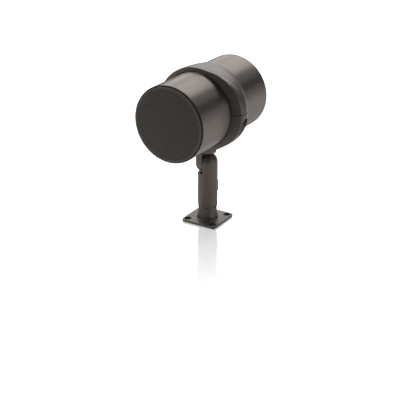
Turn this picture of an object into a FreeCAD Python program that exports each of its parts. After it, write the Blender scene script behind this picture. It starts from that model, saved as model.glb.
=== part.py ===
# Outdoor patio speaker: a bullet-shaped barrel held by a split clamp collar on a half-lap knuckle,
# a post that turns on a threaded stem, and a square flange for four screws.
# Millimetres, +Z up. The origin is the centre of the flange's underside, the speaker faces -Y,
# and +X is on the side of the clamp lug.

import FreeCAD, Part
import os

import Sketcher
from FreeCAD import Rotation, Vector

os.makedirs("parts", exist_ok=True)
doc = FreeCAD.newDocument("patio_speaker")
sheet = doc.addObject("Spreadsheet::Sheet", "Sizes")

# Driving sizes: a name, a value in millimetres or degrees, and what it measures
SIZES = [
    # Flange and neck
    ("plate_side", 65.0, "side of the square flange"),
    ("plate_thickness", 4.0, "thickness of the flange"),
    ("plate_corner", 5.5, "corner radius of the flange"),
    ("hole_spacing", 48.2, "spacing of the mounting screws, both ways"),
    ("hole_diameter", 6.4, "mounting screw hole"),
    ("head_recess_diameter", 12.2, "recess for the screw's head"),
    ("head_recess_depth", 2.6, "depth of that recess"),
    ("neck_height", 21.7, "neck above the flange"),
    ("neck_top_radius", 15.7, "neck under the post"),
    ("neck_waist_radius", 17.2, "neck just above its foot ring"),
    ("foot_ring_height", 5.0, "height of the rounded foot ring"),
    ("foot_ring_round", 6.0, "radius of the foot ring's edge"),
    ("foot_fillet", 1.6, "hollow round between the foot ring and the flange"),
    ("neck_flare", 60.0, "radius of the neck's hollow flare"),
    ("cable_bore", 6.5, "radius of the cable way in flange and stem"),
    # Threaded stem and post
    ("stem_radius", 9.5, "threaded stem"),
    ("stem_seat", 6.0, "height of the stem's lower end"),
    ("stem_length", 50.0, "length of the stem"),
    ("thread_clearance", 0.05, "radial clearance of every screw in its tapped hole"),
    ("turning_clearance", 0.1, "radial clearance of what turns"),
    ("seam_washer", 0.4, "thickness of the washer under the post"),
    ("post_radius", 16.75, "post"),
    ("pivot_height", 105.0, "height of the knuckle pin"),
    ("lap_plane", -0.4, "face of the tongue, from the middle"),
    ("lap_gap", 1.2, "gap between tongue and ear, which the friction washer fills"),
    ("shoulder_drop", 18.0, "shoulder of the post below the pin"),
    ("shoulder_round", 2.4, "rounding of the shoulder's edge"),
    ("flat_height", 9.3, "height of the wrench flats"),
    ("flat_depth", 2.1, "depth of the wrench flats"),
    ("flat_turn", -7.0, "turn of the wrench flats about the post"),
    ("post_cable_way", 3.5, "radius of the cable way beside the pin"),
    ("post_cable_offset", 8.5, "cable way from the middle of the post"),
    ("bore_roof", 58.5, "top of the bore that takes the stem"),
    ("exit_width", 20.0, "cable exit cover across"),
    ("exit_height", 21.6, "cable exit cover up and down"),
    ("exit_centre", 58.4, "height of the cable exit cover"),
    ("exit_proud", 1.8, "cover beyond the post"),
    ("exit_corner", 2.5, "corner radius of the cover"),
    ("exit_rim", 3.5, "cover around its plug"),
    ("exit_fit", 0.2, "gap around the plug"),
    ("exit_plug_depth", 6.0, "plug into the post's wall"),
    # Knuckle
    ("turret_radius", 14.4, "turret under the collar"),
    ("turret_gap", 2.05, "turret above the tongue's dome"),
    ("turret_height", 12.2, "height of the turret"),
    ("spigot_radius", 10.0, "threaded spigot of the turret"),
    ("spigot_height", 4.8, "height of the spigot"),
    ("spigot_gap", 0.6, "spigot below the collar's bore"),
    ("ear_radius", 17.0, "ear around the pin"),
    ("ear_outer", 14.9, "outer face of the ear, from the middle"),
    ("ear_edge", 4.5, "rounding of the ear's outer edge"),
    ("ear_top", 8.0, "straight sides of the ear above the turret's underside"),
    ("bolt_radius", 4.0, "knuckle bolt"),
    ("bolt_grip", 11.2, "knuckle bolt inside the post's tongue"),
    ("bolt_tap_spare", 1.0, "tapped hole beyond the bolt's end"),
    ("head_radius", 6.5, "socket head of the bolt"),
    ("head_height", 5.0, "height of the socket head"),
    ("head_sink_gap", 0.5, "gap around the head in its counterbore"),
    ("head_sink_cover", 0.6, "counterbore beyond the head"),
    ("hex_flats", 5.0, "hexagon socket across its flats"),
    ("hex_depth", 3.0, "depth of the hexagon socket"),
    ("bolt_washer", 1.0, "thickness of the washers under the heads"),
    ("friction_inner", 12.2, "inner radius of the friction washer"),
    ("friction_margin", 0.5, "friction washer inside the ear's rim"),
    ("chamber_inner", 6.4, "boss around the bolt in the ear"),
    ("chamber_depth", 5.0, "depth of the cable chamber in the ear"),
    ("riser_radius", 2.8, "cable riser from ear to barrel"),
    ("riser_offset", 4.5, "riser from the middle"),
    # Barrel
    ("barrel_radius", 63.0, "barrel outside"),
    ("barrel_wall", 3.0, "barrel wall"),
    ("barrel_front", 115.0, "barrel ahead of the post"),
    ("barrel_rear", 85.6, "barrel behind the post"),
    ("end_wall", 3.5, "closed rear end"),
    ("rear_edge", 2.5, "rounding of the rear edge"),
    ("lip_edge", 0.5, "rounding of the front lip"),
    ("lip_wall", 1.1, "wall of the barrel's lip around the grille"),
    ("rebate_depth", 9.0, "baffle's seat behind the lip"),
    ("rebate_gap", 1.1, "gap between grille and lip"),
    ("boss_radius", 4.2, "screw boss inside the barrel"),
    ("boss_length", 16.0, "length of the screw boss"),
    ("boss_inset", 3.0, "baffle screws from the barrel's inside"),
    ("standoff_radius", 3.5, "board standoff on the rear wall"),
    ("standoff_height", 10.0, "height of the board standoffs"),
    ("grommet_radius", 6.0, "cable grommet in the barrel wall"),
    ("grommet_flange", 2.5, "flange of the grommet beyond its sleeve"),
    ("grommet_height", 3.0, "grommet inside the barrel"),
    # Clamp collar
    ("liner_thickness", 1.4, "rubber liner between collar and barrel"),
    ("liner_setback", 3.0, "liner inside the collar's faces"),
    ("collar_front", 36.8, "collar's front face ahead of the post"),
    ("collar_width", 48.3, "collar along the barrel"),
    ("clamp_turn", 11.0, "turn of the clamp lug about the barrel"),
    ("lug_flank", 70.0, "where the lug's arc ends, from its middle"),
    ("front_wall", 6.6, "wall of the band at the front face"),
    ("front_offset", 20.0, "centre of the lug's arc at the front face, from the axis"),
    ("full_ahead", 25.0, "the lug's fullest section ahead of the post"),
    ("full_wall", 6.4, "wall of the band at that section"),
    ("full_offset", 24.9, "centre of the lug's arc at that section"),
    ("fall_ahead", 8.0, "section where the lug falls away, ahead of the post"),
    ("fall_wall", 5.2, "wall of the band at that section"),
    ("fall_offset", 15.0, "centre of the lug's arc at that section"),
    ("rear_wall", 2.8, "wall of the band at the rear face"),
    ("rear_offset", 1.0, "centre of the lug's arc at the rear face"),
    ("slit_drop", 9.4, "slit below the lug's middle"),
    ("slit_width", 0.9, "slit of the clamp"),
    ("clamp_screw_out", 11.6, "clamp screw outside the band's bore"),
    ("clamp_screw_ahead", 26.1, "clamp screw ahead of the post"),
    ("clamp_ear", 7.6, "thickness of the lower clamp ear"),
    ("clamp_pocket", 9.4, "radius of the screw's pocket"),
    ("clamp_radius", 3.0, "clamp screw"),
    ("clamp_head_radius", 5.0, "socket head of the clamp screw"),
    ("clamp_washer_radius", 6.5, "washer of the clamp screw"),
    ("clamp_grip", 20.0, "clamp screw above the slit"),
    # Baffle, driver and grille
    ("baffle_thickness", 4.0, "baffle ring"),
    ("baffle_ledge", 6.5, "baffle under the driver's frame"),
    ("baffle_fit", 0.3, "gap around the baffle"),
    ("screw_radius", 1.5, "baffle and driver screws"),
    ("screw_head", 2.5, "screw head radius"),
    ("screw_head_height", 1.8, "screw head height"),
    ("screw_length", 9.0, "length of the baffle screws"),
    ("driver_screw_inset", 2.7, "driver screws from the frame's edge"),
    ("gasket_thickness", 1.0, "gasket under the driver"),
    ("frame_inset", 4.0, "driver frame inside the circle of the baffle screws"),
    ("frame_flange", 2.0, "flange of the driver frame"),
    ("frame_rim", 8.5, "flange of the driver frame across"),
    ("frame_wall", 1.7, "wall of the driver frame"),
    ("frame_depth", 27.0, "flange to the floor of the frame"),
    ("frame_floor_radius", 34.0, "floor of the driver frame"),
    ("frame_floor", 2.0, "thickness of the frame's floor"),
    ("ledge_height", 4.0, "spider ledge above the floor"),
    ("ledge_inner", 28.0, "inner radius of the spider ledge"),
    ("window_width", 20.0, "window in the frame across"),
    ("window_reach", 8.5, "window in the frame, towards the middle"),
    ("window_rim", 1.5, "window in the frame from its mouth"),
    ("coil_radius", 13.3, "voice coil outside"),
    ("coil_wall", 0.7, "voice coil wall"),
    ("coil_gap", 0.4, "air gap on each side of the coil"),
    ("coil_length", 19.0, "voice coil former"),
    ("coil_drop", 3.0, "voice coil below the top plate's face"),
    ("top_plate_radius", 32.0, "top plate"),
    ("top_plate_thickness", 4.0, "top plate"),
    ("magnet_radius", 35.0, "ring magnet outside"),
    ("magnet_bore", 18.0, "ring magnet inside"),
    ("magnet_height", 12.0, "ring magnet"),
    ("yoke_thickness", 5.0, "back plate of the yoke"),
    ("spider_wave", 1.2, "corrugation of the spider"),
    ("spider_cloth", 0.6, "spider thickness"),
    ("cone_wall", 0.8, "cone thickness"),
    ("roll_width", 6.5, "roll of the surround across"),
    ("surround_foot", 3.0, "flat edge of the surround"),
    ("surround_wall", 0.6, "surround thickness"),
    ("surround_roll", 2.2, "height of the surround's roll"),
    ("tweeter_post_radius", 3.5, "post of the tweeter"),
    ("tweeter_radius", 11.0, "tweeter cup"),
    ("tweeter_height", 8.0, "height of the tweeter cup"),
    ("tweeter_wall", 2.0, "wall of the tweeter cup"),
    ("tweeter_top", 111.5, "front of the tweeter cup ahead of the post"),
    ("tweeter_dome_rise", 2.6, "rise of the tweeter dome"),
    ("grille_sheet", 1.0, "grille sheet"),
    ("grille_proud", 4.0, "grille's rim ahead of the lip"),
    ("grille_edge", 1.6, "rounded rim of the grille"),
    ("grille_step", 0.5, "perforated field behind the rim"),
    ("grille_dome", 1.8, "dome of the perforated field"),
    ("grille_hole", 1.9, "radius of the grille's holes"),
    ("grille_pitch", 10.2, "pitch of the grille's hole circles"),
    ("cloth_thickness", 0.4, "cloth behind the grille"),
    ("foam_length", 3.0, "foam ring around the grille"),
    # Crossover and filling
    ("board_width", 76.0, "crossover board across"),
    ("board_height", 54.0, "crossover board up and down"),
    ("board_thickness", 1.6, "crossover board"),
    ("board_margin", 5.0, "board screws from the edges"),
    ("board_screw_length", 8.0, "length of the board screws"),
    ("inductor_radius", 13.0, "inductor bobbin"),
    ("inductor_height", 18.0, "inductor"),
    ("inductor_flange", 1.5, "bobbin flange"),
    ("inductor_winding", 11.5, "winding of the inductor"),
    ("inductor_bore", 4.0, "bore of the bobbin"),
    ("inductor_left", 18.0, "inductor from the board's middle"),
    ("capacitor_radius", 5.5, "film capacitor"),
    ("capacitor_length", 24.0, "film capacitor"),
    ("capacitor_right", 12.0, "capacitors from the board's middle"),
    ("capacitor_spread", 13.0, "distance between the capacitors"),
    ("terminal_width", 18.0, "terminal block across"),
    ("terminal_depth", 9.0, "terminal block up and down"),
    ("terminal_height", 10.0, "terminal block off the board"),
    ("terminal_well", 2.2, "screw well of the terminal block"),
    ("terminal_down", 18.0, "terminal block below the board's middle"),
    ("wadding_length", 46.0, "acoustic wadding along the barrel"),
    ("wadding_thickness", 11.0, "acoustic wadding"),
    ("wadding_front", -11.0, "front of the wadding ahead of the post"),
    ("wadding_fit", 0.3, "wadding inside the barrel wall"),
]


# Sizes with their formulas
class Size:
    """A size as a value, with the formula over the sheet's cells that gives it."""

    def __init__(self, value, formula):
        self.value = value
        self.formula = formula

    def __add__(self, other):
        other = as_size(other)
        return Size(self.value + other.value, "(%s + %s)" % (self.formula, other.formula))

    def __sub__(self, other):
        other = as_size(other)
        return Size(self.value - other.value, "(%s - %s)" % (self.formula, other.formula))

    def __mul__(self, other):
        other = as_size(other)
        return Size(self.value * other.value, "(%s * %s)" % (self.formula, other.formula))

    def __truediv__(self, other):
        other = as_size(other)
        return Size(self.value / other.value, "(%s / %s)" % (self.formula, other.formula))

    def __neg__(self):
        return Size(-self.value, "(0 - %s)" % self.formula)

    __radd__ = __add__

    def __rsub__(self, other):
        return as_size(other) - self

    __rmul__ = __mul__


def as_size(number):
    """A plain number as a size."""
    return number if isinstance(number, Size) else Size(float(number), "%r" % float(number))


def turned_about(angle, radius):
    """The two offsets of a point at a radius and an angle in degrees."""
    direction = Vector(1, 0, 0)
    direction = Rotation(Vector(0, 0, 1), as_size(angle).value).multVec(direction)
    across = Size(radius.value * direction.x, "(%s * cos(%s))" % (radius.formula, as_size(angle).formula))
    upward = Size(radius.value * direction.y, "(%s * sin(%s))" % (radius.formula, as_size(angle).formula))
    return across, upward


for row, (alias, value, meaning) in enumerate(SIZES, start=1):
    sheet.set("A%d" % row, meaning)
    sheet.set("B%d" % row, str(value))
    sheet.setAlias("B%d" % row, alias)
doc.recompute()


class Sheet:
    """The sheet's sizes by name."""

    def __getattr__(self, alias):
        return Size(float(sheet.get(alias)), "Sizes.%s" % alias)


size = Sheet()


# Heights and distances that more than one piece uses
neck_top = size.plate_thickness + size.neck_height
post_bottom = neck_top + size.seam_washer
shoulder = size.pivot_height - size.shoulder_drop
ear_face = size.lap_plane - size.lap_gap
turret_bottom = size.pivot_height + size.post_radius + size.turret_gap
turret_top = turret_bottom + size.turret_height
spigot_top = turret_top + size.spigot_height
collar_bore = size.barrel_radius + size.liner_thickness
axis_height = spigot_top + size.spigot_gap + collar_bore
barrel_inner = size.barrel_radius - size.barrel_wall
boss_circle = barrel_inner - size.boss_inset
rear_inside = size.end_wall - size.barrel_rear
rebate_radius = size.barrel_radius - size.lip_wall
grille_radius = rebate_radius - size.rebate_gap
frame_radius = boss_circle - size.frame_inset
driver_screw_circle = frame_radius - size.driver_screw_inset
baffle_opening = frame_radius - size.baffle_ledge
frame_mouth = frame_radius - size.frame_rim
window_outer = frame_mouth - size.window_rim
cone_rim = frame_mouth - size.roll_width
baffle_back = size.barrel_front - size.rebate_depth
baffle_front = baffle_back + size.baffle_thickness
frame_back = baffle_front + size.gasket_thickness
frame_front = frame_back + size.frame_flange
floor_front = frame_back - size.frame_depth
floor_back = floor_front - size.frame_floor
magnet_front = floor_back - size.top_plate_thickness
magnet_back = magnet_front - size.magnet_height
coil_back = floor_back - size.coil_drop - size.top_plate_thickness / 2
coil_front = coil_back + size.coil_length
pole_radius = size.coil_radius - size.coil_wall - size.coil_gap
pole_gap_outer = size.coil_radius + size.coil_gap
rim_front = size.barrel_front + size.grille_proud
field_radius = grille_radius - size.grille_edge - size.grille_sheet
field_front = rim_front - size.grille_step
collar_back = size.collar_front - size.collar_width
board_back = rear_inside + size.standoff_height
board_front = board_back + size.board_thickness
sink_radius = size.head_radius + size.head_sink_gap
sink_depth = size.bolt_washer + size.head_height + size.head_sink_cover
slit_low = -size.slit_drop - size.slit_width / 2
slit_high = -size.slit_drop + size.slit_width / 2
clamp_seat = slit_low - size.clamp_ear
clamp_screw_out = collar_bore + size.clamp_screw_out
SCREWS_AROUND = 4
SCREW_TURN = 45.0
FRAME_WINDOWS = 5
GRILLE_CIRCLES = 5
HEX_SIDES = 6
SPARE = 5.0


# Sketch and feature helpers
def hold(sketch, kind, references, measure):
    """One dimension of a sketch, tied to its formula."""
    index = sketch.addConstraint(Sketcher.Constraint(kind, *references, measure.value))
    sketch.setExpression("Constraints[%d]" % index, measure.formula)


def place_point(sketch, curve, end, point):
    """Hold one end of a curve at a place in the sketch."""
    hold(sketch, "DistanceX", (curve, end), as_size(point[0]))
    hold(sketch, "DistanceY", (curve, end), as_size(point[1]))


def arc_between(start, finish, radius, left):
    """The arc from start to finish with its centre to the left or the right of the way."""
    chord = finish - start
    middle = (start + finish) * 0.5
    aside = Vector(-chord.y, chord.x, 0).normalize()
    if not left:
        aside = aside * -1
    centre = middle + aside * max(radius ** 2 - (chord.Length / 2) ** 2, 0) ** 0.5
    circle = Part.Circle(centre, Vector(0, 0, 1), radius)
    ends = (start, finish) if left else (finish, start)
    return Part.ArcOfCircle(circle, circle.parameter(ends[0]), circle.parameter(ends[1]))


def draw(sketch, corners, arcs=None):
    """A closed outline through the corners. arcs gives the sides that are arcs: the number of
    their first corner, with the radius and True where the centre is on the left."""
    arcs = arcs or {}
    points = [Vector(as_size(x).value, as_size(y).value, 0) for x, y in corners]
    ends = []
    for number, start in enumerate(points):
        finish = points[(number + 1) % len(points)]
        if number in arcs:
            radius, left = arcs[number]
            radius = as_size(radius)
            curve = sketch.addGeometry(arc_between(start, finish, radius.value, left), False)
            hold(sketch, "Radius", (curve,), radius)
            ends.append((curve, 1, 2) if left else (curve, 2, 1))
        else:
            curve = sketch.addGeometry(Part.LineSegment(start, finish), False)
            ends.append((curve, 1, 2))
    for number, (curve, first, last) in enumerate(ends):
        following, following_first, _ = ends[(number + 1) % len(ends)]
        sketch.addConstraint(Sketcher.Constraint("Coincident", curve, last, following, following_first))
        place_point(sketch, curve, first, corners[number])


def draw_circle(sketch, centre, radius):
    """A circle at a place in the sketch."""
    middle = Vector(as_size(centre[0]).value, as_size(centre[1]).value, 0)
    curve = sketch.addGeometry(Part.Circle(middle, Vector(0, 0, 1), radius.value), False)
    hold(sketch, "Radius", (curve,), radius)
    place_point(sketch, curve, 3, centre)


def box_corners(left, right, low, high):
    """The corners of a rectangle."""
    return [(left, low), (right, low), (right, high), (left, high)]


def rounded_box(half_width, half_height, corner, centre_height=0):
    """The corners and arcs of a rectangle with rounded corners about the vertical axis."""
    wide, tall = half_width - corner, half_height - corner
    corners = [(-wide, centre_height - half_height), (wide, centre_height - half_height),
               (half_width, centre_height - tall), (half_width, centre_height + tall),
               (wide, centre_height + half_height), (-wide, centre_height + half_height),
               (-half_width, centre_height + tall), (-half_width, centre_height - tall)]
    return corners, {side: (corner, True) for side in (1, 3, 5, 7)}


def new_body(label):
    """An empty body."""
    return doc.addObject("PartDesign::Body", label)


def origin_of(body, role):
    """A plane or an axis of the body's own origin."""
    return next(feature for feature in body.Origin.OriginFeatures if feature.Role == role)


def new_sketch(body, role, name, offset=None):
    """A sketch on one of the body's planes, moved off it by a size."""
    sketch = body.newObject("Sketcher::SketchObject", "%s_%s" % (body.Label, name))
    sketch.AttachmentSupport = [(origin_of(body, role), "")]
    sketch.MapMode = "FlatFace"
    if offset is not None:
        sketch.setExpression("AttachmentOffset.Base.z", offset.formula)
    return sketch


def feature(body, kind, name, sketch):
    """A sketch-based feature of a body."""
    made = body.newObject("PartDesign::%s" % kind, "%s_%s" % (body.Label, name))
    made.Profile = sketch
    return made


def pad(body, sketch, name, length, backwards=False):
    """Material from a sketch, along the plane's normal or against it."""
    made = feature(body, "Pad", name, sketch)
    made.setExpression("Length", as_size(length).formula)
    made.Reversed = backwards
    return made


def pocket(body, sketch, name, length, backwards=False):
    """A cut against the plane's normal, or along it when backwards."""
    made = feature(body, "Pocket", name, sketch)
    made.setExpression("Length", as_size(length).formula)
    made.Reversed = backwards
    return made


def revolve(body, sketch, name, kind="Revolution", angle=360.0, midplane=False, axis="V_Axis"):
    """A turned form about one of the sketch's own axes, the upright one if none is named."""
    made = feature(body, kind, name, sketch)
    made.ReferenceAxis = (sketch, [axis])
    made.Angle = angle
    made.Midplane = midplane
    return made


def around(body, made, count):
    """Copies of a feature around the body's own Z axis."""
    pattern = body.newObject("PartDesign::PolarPattern", "%s_around" % made.Name)
    pattern.Originals = [made]
    pattern.Axis = (origin_of(body, "Z_Axis"), [""])
    pattern.Angle = 360.0
    pattern.Occurrences = count
    body.Tip = pattern
    return pattern


def turned(label, corners, arcs=None):
    """A turned piece: its outline has radii across and distances along its axis upwards."""
    body = new_body(label)
    sketch = new_sketch(body, "XZ_Plane", "outline")
    draw(sketch, corners, arcs)
    revolve(body, sketch, "turned")
    return body


def ring(label, inner, outer, back, front):
    """A plain ring between two distances along its axis."""
    return turned(label, box_corners(inner, outer, back, front))


def move(thing, across=0, along=0, height=0, axis=Vector(0, 0, 1), angle=0):
    """Put a piece in its place, with its rotation about an axis."""
    thing.Placement = FreeCAD.Placement(Vector(0, 0, 0), Rotation(axis, as_size(angle).value))
    for letter, distance in (("x", across), ("y", along), ("z", height)):
        thing.setExpression("Placement.Base.%s" % letter, as_size(distance).formula)
    if isinstance(angle, Size):
        thing.setExpression("Placement.Rotation.Angle", angle.formula)
    return thing


def on_barrel(thing):
    """Stand a piece that was turned about Z on the barrel's axis, front towards -Y."""
    return move(thing, height=axis_height, axis=Vector(1, 0, 0), angle=90)


def rod(name, radius, length, across=0, along=0, height=0, axis=Vector(0, 0, 1), angle=0):
    """A cylinder that starts at a place and runs along the turned Z axis."""
    made = doc.addObject("Part::Cylinder", name)
    made.setExpression("Radius", as_size(radius).formula)
    made.setExpression("Height", as_size(length).formula)
    return move(made, across, along, height, axis, angle)


def block(name, width, depth, tall, across=0, along=0, height=0):
    """A box from its lower left front corner."""
    made = doc.addObject("Part::Box", name)
    made.setExpression("Length", as_size(width).formula)
    made.setExpression("Width", as_size(depth).formula)
    made.setExpression("Height", as_size(tall).formula)
    return move(made, across, along, height)


def fused(name, shapes):
    """Shapes joined into one."""
    made = doc.addObject("Part::MultiFuse", name)
    made.Shapes = shapes
    return made


def cut(name, base, tool):
    """One shape less another."""
    made = doc.addObject("Part::Cut", name)
    made.Base = base
    made.Tool = tool
    return made


def shared(name, first, second):
    """What two shapes have in common."""
    made = doc.addObject("Part::MultiCommon", name)
    made.Shapes = [first, second]
    return made


def group(label, members):
    """Identical pieces in one node."""
    made = doc.addObject("Part::Compound", label)
    made.Links = members
    return made


def small_screws(label, places, head_back, length):
    """Pan-head screws that point backwards along the barrel, one at each place of their circle."""
    members = []
    for number, (across, upward) in enumerate(places, start=1):
        name = "%s_%d" % (label, number)
        tilt = {"axis": Vector(1, 0, 0), "angle": 90}
        shank = rod(name + "_shank", size.screw_radius, length, across, length - head_back,
                    axis_height + upward, **tilt)
        head = rod(name + "_head", size.screw_head, size.screw_head_height, across, -head_back,
                   axis_height + upward, **tilt)
        members.append(fused(name, [shank, head]))
    return group(label, members)


def socket_screw(label, length, radius, head_radius):
    """A socket-head screw that points along +Z from the underside of its head at the origin."""
    body = new_body(label)
    sketch = new_sketch(body, "XZ_Plane", "outline")
    draw(sketch, [(0, -size.head_height), (head_radius, -size.head_height), (head_radius, 0),
                  (radius, 0), (radius, length), (0, length)])
    revolve(body, sketch, "turned")
    socket = new_sketch(body, "XY_Plane", "socket", -size.head_height)
    corner_radius = size.hex_flats / (3 ** 0.5)
    draw(socket, [turned_about(360 / HEX_SIDES * number, corner_radius) for number in range(HEX_SIDES)])
    pocket(body, socket, "socket_cut", size.hex_depth, backwards=True)
    return body


# Flange with its neck
def base_flange():
    body = new_body("base_flange")
    half = size.plate_side / 2
    plate = new_sketch(body, "XY_Plane", "plate")
    draw(plate, *rounded_box(half, half, size.plate_corner))
    pad(body, plate, "plate_pad", size.plate_thickness)
    neck = new_sketch(body, "XZ_Plane", "neck")
    ring_top = size.plate_thickness + size.foot_ring_height
    draw(neck, [(0, size.plate_thickness),
                (size.neck_waist_radius + size.foot_fillet, size.plate_thickness),
                (size.neck_waist_radius, size.plate_thickness + size.foot_fillet),
                (size.neck_waist_radius, ring_top), (size.neck_top_radius, neck_top), (0, neck_top)],
         {1: (size.foot_fillet, False), 2: (size.foot_ring_round, True), 3: (size.neck_flare, False)})
    revolve(body, neck, "neck_turned")
    bore = new_sketch(body, "XZ_Plane", "bore")
    tapped = size.stem_radius + size.thread_clearance
    draw(bore, [(0, 0), (size.cable_bore, 0), (size.cable_bore, size.stem_seat),
                (tapped, size.stem_seat), (tapped, neck_top), (0, neck_top)])
    revolve(body, bore, "bore_cut", kind="Groove")
    holes = new_sketch(body, "XY_Plane", "holes", size.plate_thickness)
    offset = size.hole_spacing / 2
    for side in (-1, 1):
        for end in (-1, 1):
            draw_circle(holes, (offset * side, offset * end), size.hole_diameter / 2)
    doc.recompute()
    drilled = feature(body, "Hole", "holes_drilled", holes)
    drilled.DepthType = "ThroughAll"
    drilled.setExpression("Diameter", size.hole_diameter.formula)
    drilled.HoleCutType = "Counterbore"
    drilled.HoleCutCustomValues = True
    drilled.setExpression("HoleCutDiameter", size.head_recess_diameter.formula)
    drilled.setExpression("HoleCutDepth", size.head_recess_depth.formula)
    return [body]


# Threaded stem that the post turns on, and the washer in the seam
def swivel_stem():
    stem_top = size.stem_seat + size.stem_length
    stem = ring("swivel_stem", size.cable_bore, size.stem_radius, size.stem_seat, stem_top)
    washer_inner = size.stem_radius + 2 * size.turning_clearance
    washer = ring("swivel_washer", washer_inner, size.neck_top_radius, neck_top, post_bottom)
    return [stem, washer]


# Post with its dome-ended tongue, wrench flats, cable way and cable exit window
def post():
    body = new_body("post")
    outline = new_sketch(body, "XZ_Plane", "outline")
    draw(outline, [(0, post_bottom), (size.post_radius, post_bottom),
                   (size.post_radius, size.pivot_height), (0, size.pivot_height + size.post_radius)],
         {2: (size.post_radius, True)})
    revolve(body, outline, "turned")
    wide = size.post_radius + SPARE
    lap = new_sketch(body, "XY_Plane", "lap", shoulder)
    draw(lap, box_corners(-wide, size.lap_plane, -wide, wide))
    pocket(body, lap, "lap_cut", size.shoulder_drop + wide, backwards=True)
    edge = new_sketch(body, "XZ_Plane", "edge")
    draw(edge, [(-size.post_radius, shoulder - size.shoulder_round), (-size.post_radius, shoulder),
                (size.shoulder_round - size.post_radius, shoulder)], {2: (size.shoulder_round, True)})
    revolve(body, edge, "edge_cut", kind="Groove", angle=180.0, midplane=True)
    flats = new_sketch(body, "XY_Plane", "flats", post_bottom)
    flats.setExpression("AttachmentOffset.Rotation.Angle", size.flat_turn.formula)
    draw(flats, box_corners(size.post_radius - size.flat_depth, wide, -wide, wide))
    flat = pocket(body, flats, "flat_cut", size.flat_height, backwards=True)
    around(body, flat, HEX_SIDES)
    bore = new_sketch(body, "XY_Plane", "bore", post_bottom)
    draw_circle(bore, (0, 0), size.stem_radius + size.turning_clearance)
    pocket(body, bore, "bore_cut", size.bore_roof - post_bottom, backwards=True)
    way = new_sketch(body, "XY_Plane", "way", size.bore_roof - SPARE)
    draw_circle(way, (size.post_cable_offset, 0), size.post_cable_way)
    way_top = size.pivot_height - size.chamber_inner
    pocket(body, way, "way_cut", way_top - size.bore_roof + SPARE, backwards=True)
    port = new_sketch(body, "YZ_Plane", "port", size.lap_plane)
    port_drop = (size.chamber_inner + size.friction_inner) / 2
    draw_circle(port, (0, size.pivot_height - port_drop), size.riser_radius)
    pocket(body, port, "port_cut", size.post_cable_offset - size.lap_plane, backwards=True)
    tapped = new_sketch(body, "YZ_Plane", "tapped", size.lap_plane)
    draw_circle(tapped, (0, size.pivot_height), size.bolt_radius + size.thread_clearance)
    pocket(body, tapped, "tapped_cut", size.bolt_grip + size.bolt_tap_spare, backwards=True)
    window = new_sketch(body, "XZ_Plane", "window")
    half_width = size.exit_width / 2 - size.exit_rim
    half_height = size.exit_height / 2 - size.exit_rim
    draw(window, box_corners(-half_width, half_width, size.exit_centre - half_height,
                             size.exit_centre + half_height))
    pocket(body, window, "window_cut", size.post_radius + SPARE)
    return [body]


# Cover of the cable exit, with the plug that sits in the post's window
def cable_exit_cover():
    body = new_body("cable_exit_cover")
    outer = size.post_radius + size.exit_proud
    plate = new_sketch(body, "XZ_Plane", "plate", -outer)
    corners, arcs = rounded_box(size.exit_width / 2, size.exit_height / 2, size.exit_corner,
                                size.exit_centre)
    draw(plate, corners, arcs)
    pad(body, plate, "plate_pad", outer / 2)
    hollow = new_sketch(body, "XY_Plane", "hollow", size.exit_centre - size.exit_height)
    draw_circle(hollow, (0, 0), size.post_radius)
    pocket(body, hollow, "hollow_cut", size.exit_height * 2, backwards=True)
    plug = new_sketch(body, "XZ_Plane", "plug", -outer)
    half_width = size.exit_width / 2 - size.exit_rim - size.exit_fit
    half_height = size.exit_height / 2 - size.exit_rim - size.exit_fit
    draw(plug, box_corners(-half_width, half_width, size.exit_centre - half_height,
                           size.exit_centre + half_height))
    pad(body, plug, "plug_pad", size.exit_proud + size.exit_plug_depth)
    return [body]


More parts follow.
